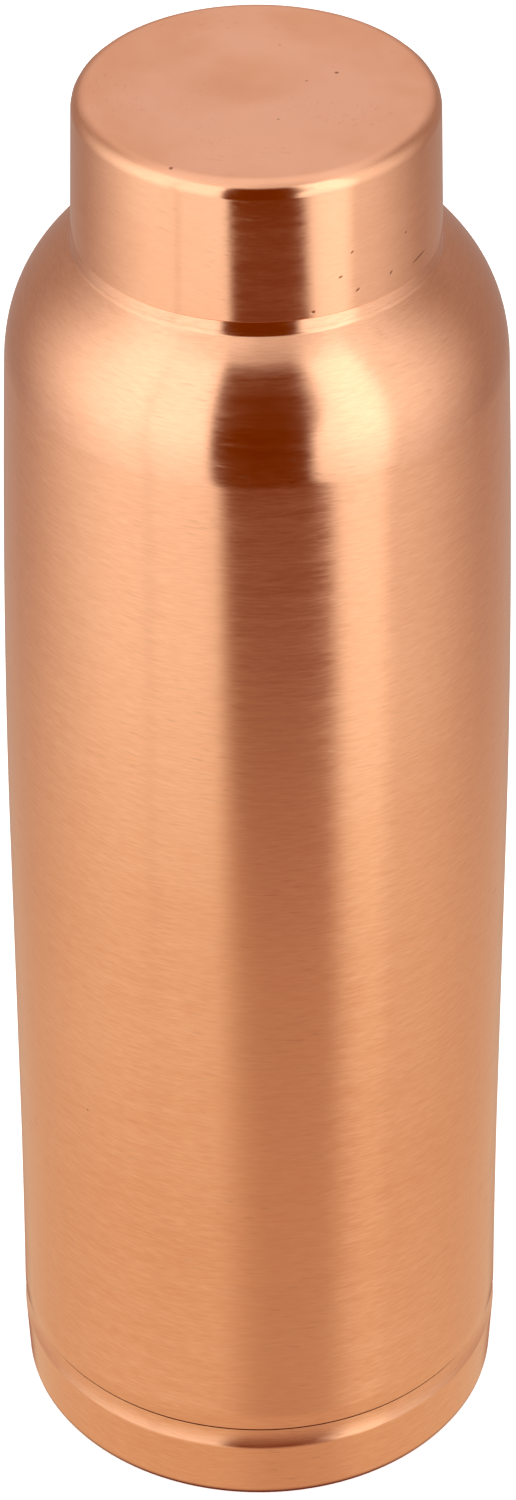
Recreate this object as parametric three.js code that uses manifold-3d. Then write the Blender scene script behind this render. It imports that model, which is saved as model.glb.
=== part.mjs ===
// A copper water bottle with a screw cap, in millimetres, +Z up, standing on z = 0 with its axis on Z.
// Six separate pieces: a spun body shell, a pressed base cup, a threaded neck ring, a drawn cap shell,
// the threaded cup crimped inside the cap, and the silicone sealing ring between that cup and the mouth.
import * as THREE from "three";
import { mergeVertices } from "three/addons/utils/BufferGeometryUtils.js";
import Module from "manifold-3d";

const wasm = await Module();
wasm.setup();

// Driving dimensions
const bodyRadius = 39;
const bodyFlare = 0.3;
const bodyBottom = 15.2;
const taperStart = 110;
const shoulderStart = { r: 37.2, z: 198 };
const shoulderEnd = { r: 30.5, z: 214.6 };
const collar = { r: 27.3, z: 218.2 };
const capRadius = 27;
const capTaper = 0.5;
const capBottom = 219.7;
const capTop = 241.7;
const capEdge = 2.4;
const sheet = 0.9;
const capSheet = 0.8;
const neckOuter = 22.6;
const neckBore = 21.5;
const mouthTop = 237.5;
const threadLead = 4.5;
const threadTurns = 2.4;
const threadRound = 0.95;
const jointGap = 0.12;

// Round pieces all have the same facets, so that nested walls stay parallel.
const facets = 48;
const threadStepsPerTurn = 32;
const threadSides = 6;

const copper = { color: 0xc9814f, roughness: 0.32, metalness: 1 };
const brightCopper = { color: 0xcf8a58, roughness: 0.22, metalness: 1 };
const silicone = { color: 0xe6e2da, roughness: 0.6, metalness: 0 };

// A lathed solid from a profile of (radius, height) points, turned so that its axis is Z.
function lathe(profile) {
  return new THREE.LatheGeometry(profile, facets).rotateX(Math.PI / 2);
}

// The points of a profile line, moved sideways by the sheet's thickness, to the left of the way it runs.
function offsetLine(points, thickness) {
  return points.map((point, i) => {
    const before = points[Math.max(i - 1, 0)];
    const after = points[Math.min(i + 1, points.length - 1)];
    const normal = new THREE.Vector2(before.y - after.y, after.x - before.x).normalize();
    return point.clone().addScaledVector(normal, thickness);
  });
}

function withoutRepeats(points) {
  return points.filter((point, i) => i === 0 || point.distanceTo(points[i - 1]) > 1e-4);
}

// A closed profile: the outer line up, then its inner line back down.
function sheetProfile(outer, thickness) {
  const line = withoutRepeats(outer);
  const inner = offsetLine(line, thickness).reverse();
  return [...line, ...inner, line[0].clone()];
}

// The same for a cup, whose line starts on the axis and ends at its rim.
function cupProfile(outer, thickness) {
  const line = withoutRepeats(outer);
  const inner = offsetLine(line, thickness).reverse();
  inner[inner.length - 1].x = 0;
  return [...line, ...inner];
}

function solidOf(geometry) {
  const bare = geometry.clone();
  bare.deleteAttribute("normal");
  bare.deleteAttribute("uv");
  const merged = mergeVertices(bare, 1e-4);
  const vertProperties = new Float32Array(merged.attributes.position.array);
  const triVerts = new Uint32Array(merged.index.array);
  return new wasm.Manifold(new wasm.Mesh({ numProp: 3, vertProperties, triVerts }));
}

function geometryOf(solid) {
  const mesh = solid.getMesh();
  const geometry = new THREE.BufferGeometry();
  geometry.setAttribute("position", new THREE.BufferAttribute(mesh.vertProperties, 3));
  geometry.setIndex(new THREE.BufferAttribute(mesh.triVerts, 1));
  geometry.computeVertexNormals();
  return geometry;
}

// The centre line of a rolled thread. Both ends sink into the wall, over a share of a turn.
class ThreadLine extends THREE.Curve {
  constructor(radius, bottom, turns, sink) {
    super();
    Object.assign(this, { radius, bottom, turns, sink });
  }
  getPoint(t, target = new THREE.Vector3()) {
    const runOut = 0.12;
    const fromEnd = Math.min(t, 1 - t) * this.turns;
    const sunk = Math.max(0, 1 - fromEnd / runOut);
    const radius = this.radius + this.sink * sunk * sunk;
    const angle = 2 * Math.PI * this.turns * t;
    const height = this.bottom + threadLead * this.turns * t;
    return target.set(radius * Math.cos(angle), radius * Math.sin(angle), height);
  }
}

function threadRidge(radius, bottom, turns, sink) {
  const section = new THREE.Shape();
  section.absarc(0, 0, threadRound, 0, 2 * Math.PI);
  const line = new ThreadLine(radius, bottom, turns, sink);
  const steps = Math.round(turns * threadStepsPerTurn);
  const ridge = { steps, extrudePath: line, curveSegments: threadSides, bevelEnabled: false };
  return new THREE.ExtrudeGeometry(section, ridge);
}

// Body shell: a slightly flared foot, the straight wall, a long slight taper, the round shoulder, and a low
// collar turned in at its top.
function bodyShell() {
  const holeRadius = neckOuter + 0.65;
  const outer = new THREE.Path();
  outer.moveTo(bodyRadius + bodyFlare - 0.35, bodyBottom);
  outer.lineTo(bodyRadius + bodyFlare, bodyBottom + 0.5);
  outer.quadraticCurveTo(bodyRadius + bodyFlare / 4, 30, bodyRadius, 50);
  outer.lineTo(bodyRadius, taperStart);
  outer.quadraticCurveTo(bodyRadius, 150, shoulderStart.r, shoulderStart.z);
  outer.bezierCurveTo(36.85, 204.5, 34.85, 209.7, shoulderEnd.r, shoulderEnd.z);
  outer.lineTo(27.75, 217.3);
  outer.quadraticCurveTo(collar.r, 217.72, collar.r, collar.z - 0.2);
  outer.lineTo(collar.r - 0.1, collar.z);
  outer.lineTo(holeRadius, collar.z);
  const line = outer.getPoints(5);
  return lathe(sheetProfile(line, sheet));
}

// Base cup: a raised floor, the standing rim, the band that widens upwards, the shallow cove above it and the
// spigot in the body.
function baseCup() {
  const band = { bottomRadius: 38.8, topRadius: 39.35, top: 11.3 };
  const rimRound = 1.4;
  const spigotRadius = bodyRadius - sheet - jointGap;
  const spigotTop = 25;
  const floorRise = 2.6;
  const grooveRadius = 39.05;
  const grooveTop = bodyBottom - jointGap;
  const coveDrop = grooveTop - band.top;
  const coveOut = band.topRadius - grooveRadius;
  const coveAngle = 2 * Math.atan(coveOut / coveDrop);
  const coveRound = coveDrop / Math.sin(coveAngle);

  const outer = new THREE.Path();
  outer.moveTo(0, floorRise);
  outer.lineTo(31.5, floorRise);
  outer.quadraticCurveTo(33, floorRise, 33.6, floorRise / 2);
  outer.quadraticCurveTo(34.1, 0, 35.2, 0);
  outer.lineTo(band.bottomRadius - rimRound, 0);
  outer.absarc(band.bottomRadius - rimRound, rimRound, rimRound, -Math.PI / 2, 0, false);
  outer.lineTo(band.topRadius, band.top);
  outer.absarc(grooveRadius + coveRound, grooveTop, coveRound, Math.PI + coveAngle, Math.PI, true);
  outer.lineTo(spigotRadius, grooveTop);
  outer.lineTo(spigotRadius, spigotTop);
  const line = outer.getPoints(3);
  return lathe(cupProfile(line, sheet));
}

// Neck ring: a flange flush with the shoulder's collar and almost up to the cap, a skirt through the hole,
// the rolled thread and the mouth's lip.
function neckRing() {
  const flangeBottom = collar.z + jointGap;
  const flangeTop = capBottom - 0.25;
  const flangeRadius = collar.r;
  const skirtRadius = neckOuter + 0.5;
  const skirtBottom = 212;
  const lipRound = 0.55;

  const profile = new THREE.Path();
  profile.moveTo(neckBore, skirtBottom);
  profile.lineTo(skirtRadius, skirtBottom);
  profile.lineTo(skirtRadius, flangeBottom);
  profile.lineTo(flangeRadius, flangeBottom);
  profile.lineTo(flangeRadius, flangeTop - 0.2);
  profile.lineTo(flangeRadius - 0.2, flangeTop);
  profile.lineTo(neckOuter, flangeTop);
  profile.lineTo(neckOuter, mouthTop - lipRound);
  profile.absarc(neckOuter - lipRound, mouthTop - lipRound, lipRound, 0, Math.PI, false);
  profile.closePath();
  const points = withoutRepeats(profile.getPoints(4));
  points[points.length - 1].copy(points[0]);
  const ring = solidOf(lathe(points));
  const ridge = solidOf(threadRidge(neckOuter + 0.2, 223, threadTurns, -1));
  return geometryOf(ring.add(ridge));
}

// Cap shell: flat top, rounded edge, a wall that narrows slightly upwards, and a hem folded in under the
// threaded cup.
function capShell() {
  const hem = { r: 24.6, thickness: 0.4 };
  const topRadius = capRadius - capTaper;
  const innerRadius = capRadius - capSheet;
  const innerTopRadius = topRadius - capSheet;
  const innerRound = capEdge - capSheet;
  const innerTop = capTop - capSheet;

  const profile = new THREE.Path();
  profile.moveTo(0, innerTop);
  profile.lineTo(innerTopRadius - innerRound, innerTop);
  profile.absarc(innerTopRadius - innerRound, innerTop - innerRound, innerRound, Math.PI / 2, 0, true);
  profile.lineTo(innerRadius, capBottom + hem.thickness);
  profile.lineTo(hem.r, capBottom + hem.thickness);
  profile.lineTo(hem.r, capBottom);
  profile.lineTo(capRadius - 0.35, capBottom);
  profile.lineTo(capRadius, capBottom + 0.35);
  profile.lineTo(topRadius, capTop - capEdge);
  profile.absarc(topRadius - capEdge, capTop - capEdge, capEdge, 0, Math.PI / 2, false);
  profile.lineTo(0, capTop);
  return lathe(withoutRepeats(profile.getPoints(5)));
}

// Threaded cup inside the cap, with a flange at its mouth that the cap shell's hem holds.
function threadedCup() {
  const root = 24.1;
  const outside = 25;
  const top = capTop - capSheet - jointGap;
  const roof = top - capSheet;
  const flange = { r: capRadius - capSheet - 0.15, z: capBottom + 0.5, thickness: 0.8 };

  const profile = new THREE.Path();
  profile.moveTo(0, roof);
  profile.lineTo(root - 0.5, roof);
  profile.lineTo(root, roof - 0.5);
  profile.lineTo(root, flange.z);
  profile.lineTo(flange.r, flange.z);
  profile.lineTo(flange.r, flange.z + flange.thickness);
  profile.lineTo(outside, flange.z + flange.thickness);
  profile.lineTo(outside, top - 1.2);
  profile.lineTo(outside - 1.2, top);
  profile.lineTo(0, top);
  const cup = solidOf(lathe(profile.getPoints()));
  const bottom = 223 + threadLead / 2;
  const ridge = solidOf(threadRidge(root - 0.2, bottom, threadTurns - 0.35, 1));
  return geometryOf(cup.add(ridge));
}

// Sealing ring: a flat washer with rounded corners, under the threaded cup's roof and on the mouth's lip.
function sealRing() {
  const inner = 18.6;
  const outer = 23.7;
  const bottom = mouthTop + jointGap;
  const top = capTop - 2 * capSheet - 2 * jointGap;
  const corner = 0.4;
  const profile = new THREE.Path();
  profile.moveTo(inner + corner, bottom);
  profile.lineTo(outer - corner, bottom);
  profile.lineTo(outer, bottom + corner);
  profile.lineTo(outer, top - corner);
  profile.lineTo(outer - corner, top);
  profile.lineTo(inner + corner, top);
  profile.lineTo(inner, top - corner);
  profile.lineTo(inner, bottom + corner);
  profile.lineTo(inner + corner, bottom);
  return lathe(profile.getPoints());
}

const bottle = new THREE.Group();

function addPiece(name, geometry, finish) {
  const piece = new THREE.Mesh(geometry, new THREE.MeshStandardMaterial(finish));
  piece.name = name;
  bottle.add(piece);
}

addPiece("body_shell", bodyShell(), copper);
addPiece("base_cup", baseCup(), copper);
addPiece("neck_ring", neckRing(), brightCopper);
addPiece("cap_shell", capShell(), copper);
addPiece("cap_threaded_cup", threadedCup(), brightCopper);
addPiece("seal_ring", sealRing(), silicone);

export default bottle;
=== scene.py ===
import math
import bmesh
import bpy
from mathutils import Matrix, Vector
from mathutils.geometry import interpolate_bezier


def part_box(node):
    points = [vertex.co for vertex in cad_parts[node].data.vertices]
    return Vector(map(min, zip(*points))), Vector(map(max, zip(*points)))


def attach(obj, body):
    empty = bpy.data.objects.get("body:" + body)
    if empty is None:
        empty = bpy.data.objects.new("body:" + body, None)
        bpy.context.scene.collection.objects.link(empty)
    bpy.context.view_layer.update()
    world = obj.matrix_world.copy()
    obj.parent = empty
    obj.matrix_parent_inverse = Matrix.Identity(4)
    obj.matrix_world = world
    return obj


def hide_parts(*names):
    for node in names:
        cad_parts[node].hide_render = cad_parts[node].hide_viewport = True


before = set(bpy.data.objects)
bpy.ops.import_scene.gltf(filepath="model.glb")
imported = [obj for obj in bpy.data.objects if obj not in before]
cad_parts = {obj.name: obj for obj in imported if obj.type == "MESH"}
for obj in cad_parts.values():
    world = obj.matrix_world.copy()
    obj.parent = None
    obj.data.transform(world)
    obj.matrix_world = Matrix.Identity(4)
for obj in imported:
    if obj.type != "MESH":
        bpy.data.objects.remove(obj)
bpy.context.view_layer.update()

mm = 0.001
fullTurn = 2 * math.pi
roundSteps = 144        # facets round the bottle


def boxOf(node):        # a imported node's lowest and highest corner, in mm like every setting below
    return [Vector(corner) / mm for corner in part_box(node)]


class Wire:        # a socket that takes part in sums
    def __init__(self, shader, socket):
        self.shader = shader
        self.socket = socket

    def maths(self, operation, *values):
        return self.shader.add("ShaderNodeMath", dict(enumerate(values)), operation=operation)

    def __add__(self, other):
        return self.maths("ADD", self, other)

    def __radd__(self, other):
        return self.maths("ADD", other, self)

    def __sub__(self, other):
        return self.maths("SUBTRACT", self, other)

    def __rsub__(self, other):
        return self.maths("SUBTRACT", other, self)

    def __mul__(self, other):
        return self.maths("MULTIPLY", self, other)

    def __rmul__(self, other):
        return self.maths("MULTIPLY", other, self)

    def __truediv__(self, other):
        return self.maths("DIVIDE", self, other)

    def __neg__(self):
        return self.maths("MULTIPLY", self, -1)

    def root(self):
        return self.maths("SQRT", self)

    def magnitude(self):
        return self.maths("ABSOLUTE", self)

    def over(self, limit):
        return self.maths("GREATER_THAN", self, limit)


class Shader:
    def __init__(self, tree):
        self.tree = tree
        tree.nodes.clear()

    def add(self, kind, inputs=None, output=0, **settings):
        node = self.tree.nodes.new(kind)
        for name, value in settings.items():
            setattr(node, name, value)
        for name, value in (inputs or {}).items():
            if isinstance(value, Wire):
                self.tree.links.new(value.socket, node.inputs[name])
            else:
                node.inputs[name].default_value = value
        return Wire(self, node.outputs[output]) if node.outputs else node

    def ease(self, value, start, end):      # 0 at start, 1 at end, smooth between
        inputs = {"Value": value, "From Min": start, "From Max": end}
        return self.add("ShaderNodeMapRange", inputs, interpolation_type="SMOOTHSTEP")

    def parts(self, vector):
        node = self.add("ShaderNodeSeparateXYZ", {0: vector}).socket.node
        return [Wire(self, socket) for socket in node.outputs]

    def vector(self, x, y, z):
        return self.add("ShaderNodeCombineXYZ", {0: x, 1: y, 2: z})

    def mix(self, share, first, second):
        inputs = {0: share, 6: first, 7: second}
        return self.add("ShaderNodeMix", inputs, output=2, data_type="RGBA")

    def noise(self, vector, scale, detail):
        return self.add("ShaderNodeTexNoise", {"Vector": vector, "Scale": scale, "Detail": detail})

    def cells(self, vector, scale, output):
        return self.add("ShaderNodeTexVoronoi", {"Vector": vector, "Scale": scale}, output=output)


def dents(shader, x, y, z, places):     # small dark marks; look["dents"] says what the five numbers are
    total = 0.0
    for azimuth, height, length, width, slant in places:
        turn = math.radians(azimuth)
        lean = math.radians(slant)
        around = x * math.cos(turn) + y * math.sin(turn)
        outward = x * math.sin(turn) - y * math.cos(turn)
        up = z - height * mm
        lengthwise = (around * math.cos(lean) + up * math.sin(lean)) / (length * mm)
        across = (up * math.cos(lean) - around * math.sin(lean)) / (width * mm)
        distance = (lengthwise * lengthwise + across * across).root()
        total = total + (1 - shader.ease(distance, 0.5, 1.0)) * outward.over(0)
    return total


def copperMaterial(name, look):
    material = bpy.data.materials.new(name)
    material.use_nodes = True
    shader = Shader(material.node_tree)
    where = shader.add("ShaderNodeTexCoord", output="Object")
    x, y, z = shader.parts(where)
    radius = (x * x + y * y + 1e-8).root()
    along = z - radius      # runs up the walls, and in over the shoulder and the flat top

    # brushing: long fine streaks that go round the axis
    def streaks(turnLength, spacing, detail):
        around = 1 / turnLength
        place = shader.vector(x / radius * around, y / radius * around, along / (spacing * mm))
        return shader.noise(place, 1.0, detail)

    fine = streaks(look["fineLength"], look["fineSpacing"], 3.0)
    broad = streaks(look["broadLength"], look["broadSpacing"], 2.0)
    clouds = shader.noise(where, look["cloudScale"], 3.0)

    # handling marks: pits, a few dents, and short faint wisps that run nearly along the brushing
    pitNoise = shader.cells(where, look["pitsPerMetre"], "Distance")
    pitChance = shader.parts(shader.cells(where, look["pitsPerMetre"], "Color"))[0]
    pitShape = 1 - shader.ease(pitNoise, look["pitSize"] * 0.5, look["pitSize"])
    pits = pitShape * pitChance.over(1 - look["pitShare"]) + dents(shader, x, y, z, look["dents"])
    slanted = along / (look["wispSpacing"] * mm) + x / radius * look["wispSlant"]
    wispsRound = look["wispsRound"]
    wispPlace = shader.vector(x / radius * wispsRound, y / radius * wispsRound, slanted)
    wisps = shader.ease(shader.noise(wispPlace, 1.0, 1.0), 0.60, 0.78)
    patches = shader.ease(shader.noise(where, look["patchScale"], 1.0), 0.44, 0.62)
    wisps = wisps * patches * look["wisps"]

    # the flat top is duller than the wall
    top = shader.ease(z, (look["topFrom"] - look["topBlend"]) * mm, look["topFrom"] * mm)

    tone = (fine - 0.5) * look["streakTone"] + (broad - 0.5) * look["broadTone"]
    shade = shader.ease(tone + (clouds - 0.5) * look["cloudTone"], -0.5, 0.5)
    colour = shader.mix(shade, look["darkCopper"], look["lightCopper"])
    mottled = shader.mix(shader.ease(clouds, 0.35, 0.65), look["topCopper"], look["topDark"])
    colour = shader.mix(top, colour, mottled)
    colour = shader.mix(pits * 0.85 + wisps * 0.12, colour, look["pitAndPaintedShadeColour"])
    paintedShadeTop, paintedShadeFull = look["paintedFootShade"]       # painted shade: the edge that it stands on is darkened towards the pit colour, standing in for the table's shadow mirrored in the copper
    paintedFootShade = shader.ease(z, paintedShadeTop * mm, paintedShadeFull * mm) * look["paintedShadeShare"]
    colour = shader.mix(paintedFootShade, colour, look["pitAndPaintedShadeColour"])

    rough = look["roughness"] + (broad - 0.5) * 0.12 + (clouds - 0.5) * 0.10 + (fine - 0.5) * 0.08
    rough = rough + top * look["topRoughness"] + wisps * 0.08 + pits * 0.1
    height = fine * look["fineDepth"] + broad * look["broadDepth"] - pits * look["pitDepth"]
    height = height - wisps * 0.001 + clouds * look["waveDepth"]
    bump = shader.add("ShaderNodeBump", {"Strength": 1.0, "Distance": mm, "Height": height})

    surface = {
        "Base Color": colour,
        "Metallic": 1.0,
        "Roughness": rough,
        "Anisotropic": look["anisotropy"],
        "Anisotropic Rotation": 0.25,
        "Normal": bump,
    }
    bsdf = shader.add("ShaderNodeBsdfPrincipled", surface)
    shader.add("ShaderNodeOutputMaterial", {"Surface": bsdf})
    return material


brushedLook = {
    "darkCopper": (0.89, 0.44, 0.26, 1), "lightCopper": (1.0, 0.56, 0.35, 1),
    "topCopper": (0.93, 0.50, 0.31, 1), "topDark": (0.93, 0.50, 0.31, 1),
    # the pit colour also paints shade on the foot's lower edge, where the table's shadow would be mirrored;
    # the two heights in mm and the share after them set where that painted shade lies and how strong it is
    "pitAndPaintedShadeColour": (0.30, 0.12, 0.07, 1), "paintedFootShade": (1.9, 1.0), "paintedShadeShare": 0.8,
    "roughness": 0.17, "topRoughness": 0.0, "anisotropy": 0.55,
    "topFrom": 900.0, "topBlend": 0.9,      # no flat top: 900 mm is above the bottle
    "fineLength": 0.06, "fineSpacing": 0.34, "broadLength": 0.4, "broadSpacing": 1.7, "cloudScale": 22.0,
    "streakTone": 0.95, "broadTone": 0.22, "cloudTone": 0.6,
    "fineDepth": 0.004, "broadDepth": 0.002, "waveDepth": 0.04,
    "pitsPerMetre": 260.0, "pitSize": 0.06, "pitShare": 0.015, "pitDepth": 0.01,
    "wisps": 1.0, "wispSpacing": 0.45, "wispSlant": 9.0, "wispsRound": 11, "patchScale": 75.0,
    "dents": [],        # degrees right of the front, height, half length, half width, slant in degrees
}
capLook = dict(
    brushedLook, roughness=0.13, anisotropy=0.35, topFrom=boxOf("cap_shell")[1].z - 0.1, topRoughness=0.26,
    topCopper=(0.97, 0.52, 0.34, 1), topDark=(0.90, 0.45, 0.27, 1), fineDepth=0.002, waveDepth=0.025,
    streakTone=0.5, broadTone=0.25, cloudTone=0.8, cloudScale=55.0,
    pitSize=0.11, pitShare=0.20, pitDepth=0.03, wisps=0.9,
    dents=[
        (32, 222.5, 0.50, 0.28, 30), (26, 225.4, 0.38, 0.22, 20), (45, 223.0, 0.46, 0.24, 40),
        (52, 228.1, 0.30, 0.24, 0), (30, 228.9, 0.36, 0.18, 45), (17, 220.7, 0.36, 0.28, 10),
        (59, 222.4, 2.40, 0.20, 7),
    ],
)
bareLook = dict(brushedLook, roughness=0.12, anisotropy=0.3, pitShare=0.02, wisps=0.6)


def siliconeMaterial():
    material = bpy.data.materials.new("washer silicone")
    material.use_nodes = True
    shader = Shader(material.node_tree)
    where = shader.add("ShaderNodeTexCoord", output="Object")
    clouds = shader.noise(where, 90.0, 3.0)
    grain = shader.noise(where, 2400.0, 2.0)
    colour = shader.mix(clouds, (0.80, 0.78, 0.73, 1), (0.90, 0.89, 0.86, 1))
    bump = shader.add("ShaderNodeBump", {"Strength": 0.5, "Distance": 0.01 * mm, "Height": grain})
    surface = {
        "Base Color": colour, "Roughness": 0.45 + clouds * 0.15, "Normal": bump,
        "Subsurface Weight": 0.3, "Subsurface Radius": (0.002, 0.0015, 0.001), "Specular IOR Level": 0.4,
    }
    bsdf = shader.add("ShaderNodeBsdfPrincipled", surface)
    shader.add("ShaderNodeOutputMaterial", {"Surface": bsdf})
    return material


brushedCopper = copperMaterial("brushed copper", brushedLook)
capCopper = copperMaterial("cap copper", capLook)
bareCopper = copperMaterial("bare copper", bareLook)
washerSilicone = siliconeMaterial()
print("materials made")


def bend(start, pull, push, end, count):        # a curved stretch between two (radius, height) points
    ends = [Vector((*point, 0)) for point in (start, pull, push, end)]
    return [(point.x, point.y) for point in interpolate_bezier(*ends, count)]


def spinOutline(bm, outline, closed=False, rounds=None, steps=roundSteps):
    points = [bm.verts.new((r * mm, 0, z * mm)) for r, z in outline]
    pairs = list(zip(points, points[1:]))
    if closed:
        pairs.append((points[-1], points[0]))
    for pair in pairs:
        bm.edges.new(pair)
    for index, width in (rounds or {}).items():
        bmesh.ops.bevel(
            bm, geom=[points[index]], offset=width * mm, offset_type="OFFSET", segments=5, profile=0.5,
            affect="VERTICES", material=-1,
        )
    bmesh.ops.spin(
        bm, geom=bm.verts[:] + bm.edges[:], cent=(0, 0, 0), axis=(0, 0, 1), dvec=(0, 0, 0), angle=fullTurn,
        steps=steps, use_merge=True, use_duplicate=False,
    )
    bmesh.ops.remove_doubles(bm, verts=bm.verts[:], dist=0.001 * mm)
    bmesh.ops.recalc_face_normals(bm, faces=bm.faces[:])


def makePiece(name, bm, material, body, node, sheet=0.0):
    sharpest = math.radians(38)
    for face in bm.faces:
        face.smooth = True
    for edge in bm.edges:
        edge.smooth = edge.calc_face_angle(0.0) < sharpest
    mesh = bpy.data.meshes.new(name)
    bm.to_mesh(mesh)
    bm.free()
    mesh.materials.append(material)
    piece = bpy.data.objects.new(name, mesh)
    bpy.context.scene.collection.objects.link(piece)
    if sheet:
        wall = piece.modifiers.new("sheet", "SOLIDIFY")
        wall.thickness = sheet * mm
        wall.offset = -1        # the sheet lies inside the drawn surface
    weighted = piece.modifiers.new("even shading", "WEIGHTED_NORMAL")
    weighted.keep_sharp = True
    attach(piece, body)
    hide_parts(node)
    print("made", name)
    return piece


wallSettings = {
    "sheet": 0.9, "edgeRound": 0.35, "footRise": 0.5, "radius": 39.0, "flareTop": 50.0,
    "flarePull": (0.15, 25.2), "flarePush": (0.05, 36.7),       # in from the foot, out from the wall
    "straightMiddle": 80.0, "taperFrom": 110.0, "taperPull": 136.7, "taperPush": (38.4, 166.0),
    "shoulderStart": (37.2, 198.0), "shoulderPull": (36.85, 204.5), "shoulderPush": (34.85, 209.7),
    "shoulderEnd": (30.5, 214.6), "conePull": (29.6, 215.55), "conePush": (28.65, 216.5),
    "coneTop": (27.5, 217.55), "filletPull": (27.38, 217.67), "filletPush": 217.75,
    "filletEnd": (0.02, 217.9), "collarRadius": 27.3, "collarRound": 0.1, "holeRadius": 23.25,
}


def makeWall():
    s = wallSettings
    low, high = boxOf("body_shell")
    radius = s["radius"]
    collar = s["collarRadius"]
    start = s["shoulderStart"]
    foot = (high.x, low.z + s["footRise"])
    pull = (high.x - s["flarePull"][0], s["flarePull"][1])
    push = (radius + s["flarePush"][0], s["flarePush"][1])
    flare = bend(foot, pull, push, (radius, s["flareTop"]), 10)
    taper = bend((radius, s["taperFrom"]), (radius, s["taperPull"]), s["taperPush"], start, 16)
    shoulder = bend(start, s["shoulderPull"], s["shoulderPush"], s["shoulderEnd"], 18)
    cone = bend(s["shoulderEnd"], s["conePull"], s["conePush"], s["coneTop"], 6)
    filletEnd = (collar - s["filletEnd"][0], s["filletEnd"][1])
    fillet = bend(s["coneTop"], s["filletPull"], (collar, s["filletPush"]), filletEnd, 6)
    outline = [(high.x - s["edgeRound"], low.z)] + flare + [(radius, s["straightMiddle"])] + taper
    outline += shoulder[1:] + cone[1:] + fillet[1:]
    outline += [(collar - s["collarRound"], high.z), (s["holeRadius"], high.z)]
    bm = bmesh.new()
    spinOutline(bm, outline)
    return makePiece("spun_body", bm, brushedCopper, "bottle", "body_shell", s["sheet"])


baseSettings = {
    "sheet": 0.9, "floorRise": 2.6, "floorMiddle": 16, "floorRadius": 31.2, "slopeRadius": 33.4,
    "slopeDrop": 0.5, "rimRadius": 34.4, "bandLow": 38.8, "bandTop": 11.3, "covePull": (0.2, 12.55),
    "covePush": 13.8, "grooveRadius": 39.05, "seamGap": 0.02, "spigotRadius": 37.98,
    "floorRound": 1.0, "slopeRound": 1.0, "rimInnerRound": 0.8, "rimRound": 1.4, "bandRound": 0.3,
}


def makeBase():
    s = baseSettings
    high = boxOf("base_cup")[1]
    grooveTop = boxOf("body_shell")[0].z - s["seamGap"]
    floor = s["floorRise"]
    groove = s["grooveRadius"]
    pull = (high.x - s["covePull"][0], s["covePull"][1])
    cove = bend((high.x, s["bandTop"]), pull, (groove, s["covePush"]), (groove, grooveTop), 10)
    outline = [(0, floor), (s["floorMiddle"], floor), (s["floorRadius"], floor)]
    outline += [(s["slopeRadius"], floor - s["slopeDrop"]), (s["rimRadius"], 0), (s["bandLow"], 0)] + cove
    outline += [(s["spigotRadius"], grooveTop), (s["spigotRadius"], high.z)]
    rounds = {
        2: s["floorRound"], 3: s["slopeRound"], 4: s["rimInnerRound"], 5: s["rimRound"],
        6: s["bandRound"],
    }
    bm = bmesh.new()
    spinOutline(bm, outline, rounds=rounds)
    return makePiece("pressed_base", bm, brushedCopper, "bottle", "base_cup", s["sheet"])


capSettings = {
    "sheet": 0.8, "edge": 2.4, "taper": 0.56, "middle": 12, "hemRadius": 24.6, "hemThickness": 0.4,
    "lipRound": 0.1, "hemRound": 0.12,
}


def makeCap():
    s = capSettings
    low, high = boxOf("cap_shell")
    inside = high.x - s["sheet"]
    roof = high.z - s["sheet"]
    hemTop = low.z + s["hemThickness"]
    outline = [(0, high.z), (s["middle"], high.z), (high.x - s["taper"], high.z), (high.x, low.z)]
    outline += [(s["hemRadius"], low.z), (s["hemRadius"], hemTop), (inside, hemTop)]
    outline += [(inside - s["taper"], roof), (0, roof)]
    rounds = {2: s["edge"], 3: s["lipRound"], 4: s["hemRound"], 7: s["edge"] - s["sheet"]}
    bm = bmesh.new()
    spinOutline(bm, outline, rounds=rounds)
    return makePiece("drawn_cap", bm, capCopper, "cap", "cap_shell")


threadSettings = {
    "lead": 4.5, "round": 0.95, "low": 223.0, "sunk": 0.2,
    "stepsPerTurn": 72, "sides": 10, "fadeTurns": 0.12,
}


def addThread(bm, wallRadius, turns, low, sink):
    s = threadSettings
    ridge = bmesh.new()
    place = Matrix.Translation((wallRadius * mm, 0, low * mm)) @ Matrix.Rotation(math.pi / 2, 4, "X")
    bmesh.ops.create_circle(ridge, cap_ends=True, segments=s["sides"], radius=s["round"] * mm, matrix=place)
    steps = round(turns * s["stepsPerTurn"])
    bmesh.ops.spin(
        ridge, geom=ridge.verts[:] + ridge.edges[:] + ridge.faces[:], cent=(0, 0, 0), axis=(0, 0, 1),
        dvec=(0, 0, s["lead"] * mm / s["stepsPerTurn"]), angle=fullTurn * steps / s["stepsPerTurn"],
        steps=steps, use_merge=False, use_duplicate=False,
    )
    fadeSteps = s["fadeTurns"] * s["stepsPerTurn"]
    for vert in ridge.verts:        # both ends sink into the wall
        turn = math.atan2(vert.co.y, vert.co.x) / fullTurn
        climbed = (vert.co.z / mm - low) / s["lead"]
        step = (round(climbed - turn) + turn) * s["stepsPerTurn"]
        sunk = max(0.0, 1 - min(step, steps - step) / fadeSteps)
        vert.co += Vector((vert.co.x, vert.co.y, 0)).normalized() * sink * mm * sunk * sunk
    bmesh.ops.recalc_face_normals(ridge, faces=ridge.faces[:])
    scratch = bpy.data.meshes.new("ridge")
    ridge.to_mesh(scratch)
    ridge.free()
    bm.from_mesh(scratch)
    bpy.data.meshes.remove(scratch)


neckSettings = {
    "bore": 21.5, "outer": 22.6, "skirtRadius": 23.1, "skirtLow": 212.0, "flangeRadius": 27.2,
    "flangeLow": 218.22, "flangeTop": 219.66, "flangeSlope": 0.32, "threadTurns": 2.4,
    "skirtRound": 0.3, "flangeRound": 0.05, "rootRound": 0.4, "lipRound": 0.54,
}


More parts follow.
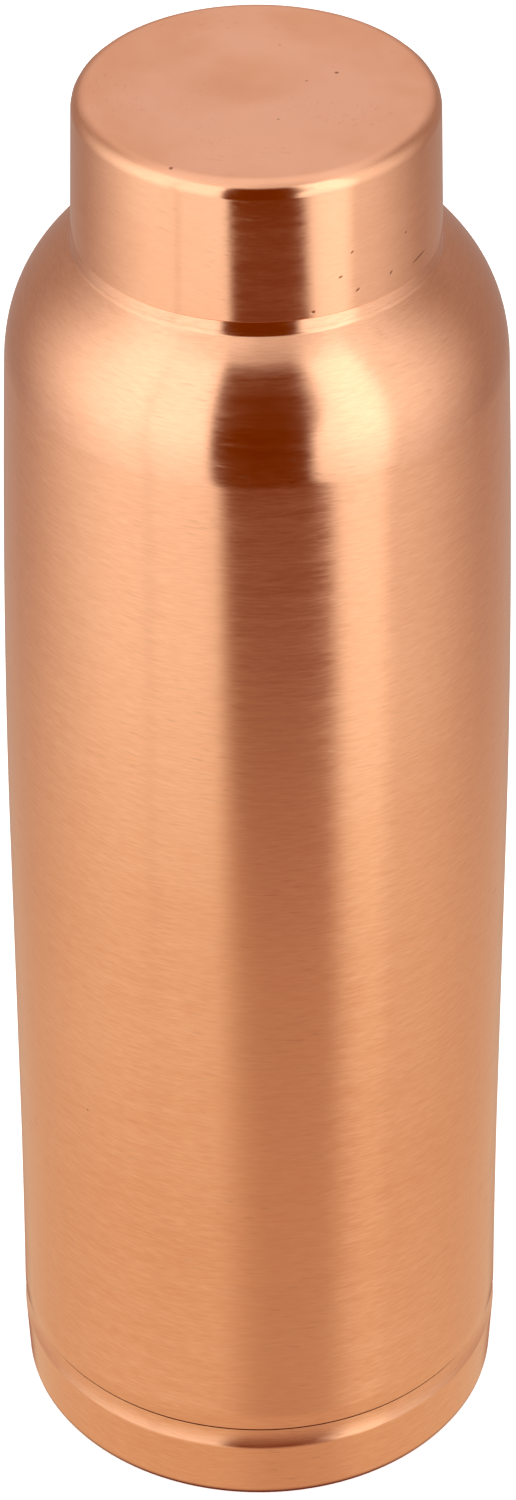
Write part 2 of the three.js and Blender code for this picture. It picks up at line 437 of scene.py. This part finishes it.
def makeNeck():
    s = neckSettings
    top = boxOf("neck_ring")[1].z
    outline = [
        (s["bore"], s["skirtLow"]), (s["skirtRadius"], s["skirtLow"]), (s["skirtRadius"], s["flangeLow"]),
        (s["flangeRadius"], s["flangeLow"]), (s["flangeRadius"] - s["flangeSlope"], s["flangeTop"]),
        (s["outer"], s["flangeTop"]), (s["outer"], top), (s["bore"], top),
    ]
    rounds = {
        0: s["skirtRound"], 1: s["skirtRound"], 4: s["flangeRound"], 5: s["rootRound"],
        6: s["lipRound"], 7: s["lipRound"],
    }
    bm = bmesh.new()
    spinOutline(bm, outline, closed=True, rounds=rounds)
    addThread(bm, s["outer"] + threadSettings["sunk"], s["threadTurns"], threadSettings["low"], -1)
    return makePiece("rolled_neck", bm, bareCopper, "bottle", "neck_ring")


cupSettings = {
    "root": 24.1, "outside": 25.0, "middle": 12, "roofThickness": 0.8, "flangeLow": 220.2,
    "flangeTop": 221.0, "threadTurns": 2.05, "roofRound": 0.5, "footRound": 0.3, "topRound": 1.2,
}


def makeCup():
    s = cupSettings
    high = boxOf("cap_threaded_cup")[1]
    roof = high.z - s["roofThickness"]
    outline = [
        (0, roof), (s["middle"], roof), (s["root"], roof), (s["root"], s["flangeLow"]),
        (high.x, s["flangeLow"]), (high.x, s["flangeTop"]), (s["outside"], s["flangeTop"]),
        (s["outside"], high.z), (0, high.z),
    ]
    bm = bmesh.new()
    spinOutline(bm, outline, rounds={2: s["roofRound"], 3: s["footRound"], 7: s["topRound"]})
    half = threadSettings["lead"] / 2
    addThread(bm, s["root"] - threadSettings["sunk"], s["threadTurns"], threadSettings["low"] + half, 1)
    return makePiece("threaded_cup", bm, bareCopper, "cap", "cap_threaded_cup")


sealSettings = {"inner": 18.6, "round": 0.4}


def makeSeal():
    s = sealSettings
    low, high = boxOf("seal_ring")
    outline = [(s["inner"], low.z), (high.x, low.z), (high.x, high.z), (s["inner"], high.z)]
    bm = bmesh.new()
    spinOutline(bm, outline, closed=True, rounds={corner: s["round"] for corner in range(4)})
    return makePiece("silicone_washer", bm, washerSilicone, "seal", "seal_ring")


makeWall()
makeBase()
makeCap()
makeNeck()
makeCup()
makeSeal()

studioSettings = {
    "copperGreen": 0.5,     # the share of green light that copper gives back
    "warmth": 0.13, "gapLeft": -20, "gapRight": 24, "leftBlur": 2, "rightBlur": 3,      # degrees
    "edgingTurn": 49, "edgingShade": 0.15, "sideGlow": 0.15, "leftGlow": 0.58, "rightGlow": 0.40,
    "narrowGlow": 0.33, "gapGlow": 0.014, "tableGlow": 0.28, "behindGlow": 0.2, "overheadGlow": 0.5,
    "overheadDip": 0.13,
}
floorSettings = {
    "radius": 4.5, "middle": 0.5, "coveReach": 0.8, "coveRise": 1.0, "covePull": 0.2, "covePush": 0.3,
    "height": 2.0, "glow": 0.75, "steps": 96,       # metres
}


def makeSurroundings():
    # panels at both sides of the camera with a dark gap between them, a bright ceiling,
    # and an even pale table below
    s = studioSettings
    world = bpy.data.worlds.new("studio")
    world.use_nodes = True
    shader = Shader(world.node_tree)
    x, y, z = shader.parts(shader.add("ShaderNodeTexCoord", output="Generated"))
    turn = shader.add("ShaderNodeMath", {0: x, 1: -y}, operation="ARCTAN2") * math.degrees(1)
    rise = z.maths("ARCSINE", z) * math.degrees(1)
    low = shader.ease(rise, -26.0, -45.0)
    high = 4 * shader.ease(rise, 0.0, 22.0)
    lean = shader.ease(rise, -22.0, -33.0)

    # the gap drifts to the right, and its edges soften, toward the table
    leftEdge = s["gapLeft"] + 6 * lean + 9 * shader.ease(rise, -33.0, -45.0)
    rightEdge = s["gapRight"] + 12 * lean + 10 * shader.ease(rise, -36.0, -45.0) + high
    leftBlur = s["leftBlur"] + 12 * low
    rightBlur = s["rightBlur"] + 10 * low + high
    left = shader.ease(turn, leftEdge + leftBlur, leftEdge - leftBlur)
    right = shader.ease(turn, rightEdge - rightBlur, rightEdge + rightBlur)
    gap = (1 - left) * (1 - right)

    climb = 0.70 + 0.30 * shader.ease(rise, -28.0, 8.0)
    edging = 1 - s["edgingShade"] * shader.ease((turn + s["edgingTurn"]).magnitude(), 3.5, 1.0)
    leftPanel = s["sideGlow"] + s["leftGlow"] * shader.ease(turn, -138.0, -58.0) * climb * edging
    narrow = shader.ease(turn, 64.0, 54.0) * (0.5 + 0.5 * shader.ease(turn, 24.0, 50.0))
    rightGlow = s["rightGlow"] * shader.ease(turn, 125.0, 62.0) + s["narrowGlow"] * narrow
    panels = left * leftPanel + right * (s["sideGlow"] + rightGlow * climb)
    upper = panels + gap * (s["gapGlow"] + 0.04 * shader.ease(rise, -31.0, -38.0))

    # the table, with the bottle's own shade under and behind it
    faded = 0.075 - 0.03 * shader.ease(rise, -42.0, -44.5)
    under = 1 - 0.85 * shader.ease(rise, -53.0, -70.0)
    shadow = shader.ease(turn.magnitude(), 150.0, 170.0) * (0.2 + 0.6 * shader.ease(rise, -41.0, -44.0))
    lower = (s["tableGlow"] - gap * faded) * under * (1 - shadow)

    # some light from behind the bottle, and the bright ceiling
    pattern = upper * (1 - low) + lower * low
    behind = shader.ease(turn.magnitude(), 125.0, 160.0) * shader.ease(rise, 5.0, 25.0)
    pattern = pattern + behind * s["behindGlow"]
    overhead = shader.ease(rise, 46.0, 60.0)
    dimmed = shader.ease(turn, -14.0, 4.0) * shader.ease(turn, 85.0, 45.0)
    pattern = pattern * (1 - overhead) + (s["overheadGlow"] - s["overheadDip"] * dimmed) * overhead
    light = pattern / s["copperGreen"]
    red = light * 0.91 + s["warmth"] + 0.10 * low
    green = light
    blue = light * (1 - 0.32 * low) - 0.035 * (1 - low)
    colour = shader.vector(red, green, blue)
    background = shader.add("ShaderNodeBackground", {"Color": colour, "Strength": 1.0})
    shader.add("ShaderNodeOutputWorld", {"Surface": background})
    bpy.context.scene.world = world


def makeFloor():
    s = floorSettings
    reach = s["radius"]
    flatEnd = (reach - s["coveReach"], 0)
    cove = bend(flatEnd, (reach - s["covePull"], 0), (reach, s["covePush"]), (reach, s["coveRise"]), 12)
    outline = [(0, 0), (s["middle"], 0), flatEnd] + cove[1:] + [(reach, s["height"])]
    bm = bmesh.new()
    spinOutline(bm, [(r / mm, z / mm) for r, z in outline], steps=s["steps"])
    bmesh.ops.reverse_faces(bm, faces=bm.faces[:])
    for face in bm.faces:
        face.smooth = True
    mesh = bpy.data.meshes.new("floor")
    bm.to_mesh(mesh)
    bm.free()
    floor = bpy.data.objects.new("floor", mesh)
    bpy.context.scene.collection.objects.link(floor)
    material = bpy.data.materials.new("floor paint")
    material.use_nodes = True
    shader = Shader(material.node_tree)
    surface = {
        "Base Color": (0.9, 0.9, 0.9, 1), "Roughness": 0.9, "Specular IOR Level": 0.0,
        "Emission Color": (1, 1, 1, 1), "Emission Strength": s["glow"],
    }
    bsdf = shader.add("ShaderNodeBsdfPrincipled", surface)
    shader.add("ShaderNodeOutputMaterial", {"Surface": bsdf})
    mesh.materials.append(material)
    floor.visible_glossy = False        # the copper mirrors the panels, not the floor
    floor.visible_diffuse = False
    floor.visible_shadow = False


makeSurroundings()
makeFloor()

cameraSettings = {
    "place": (0, -0.65225, 0.61751), "tilt": 52.888, "roll": -0.156, "lens": 126.15, "sensor": 36,
    "clip": (0.05, 50),
}


def makeCamera():
    s = cameraSettings
    data = bpy.data.cameras.new("camera")
    data.sensor_fit = "AUTO"
    data.sensor_width = s["sensor"]
    data.lens = s["lens"]
    data.clip_start, data.clip_end = s["clip"]
    camera = bpy.data.objects.new("camera", data)
    bpy.context.scene.collection.objects.link(camera)
    tilt = Matrix.Rotation(math.radians(s["tilt"]), 4, "X")
    roll = Matrix.Rotation(math.radians(s["roll"]), 4, "Z")
    camera.matrix_world = Matrix.Translation(s["place"]) @ tilt @ roll
    bpy.context.scene.camera = camera


makeCamera()
bpy.context.scene.view_settings.view_transform = "Standard"
print("studio made")
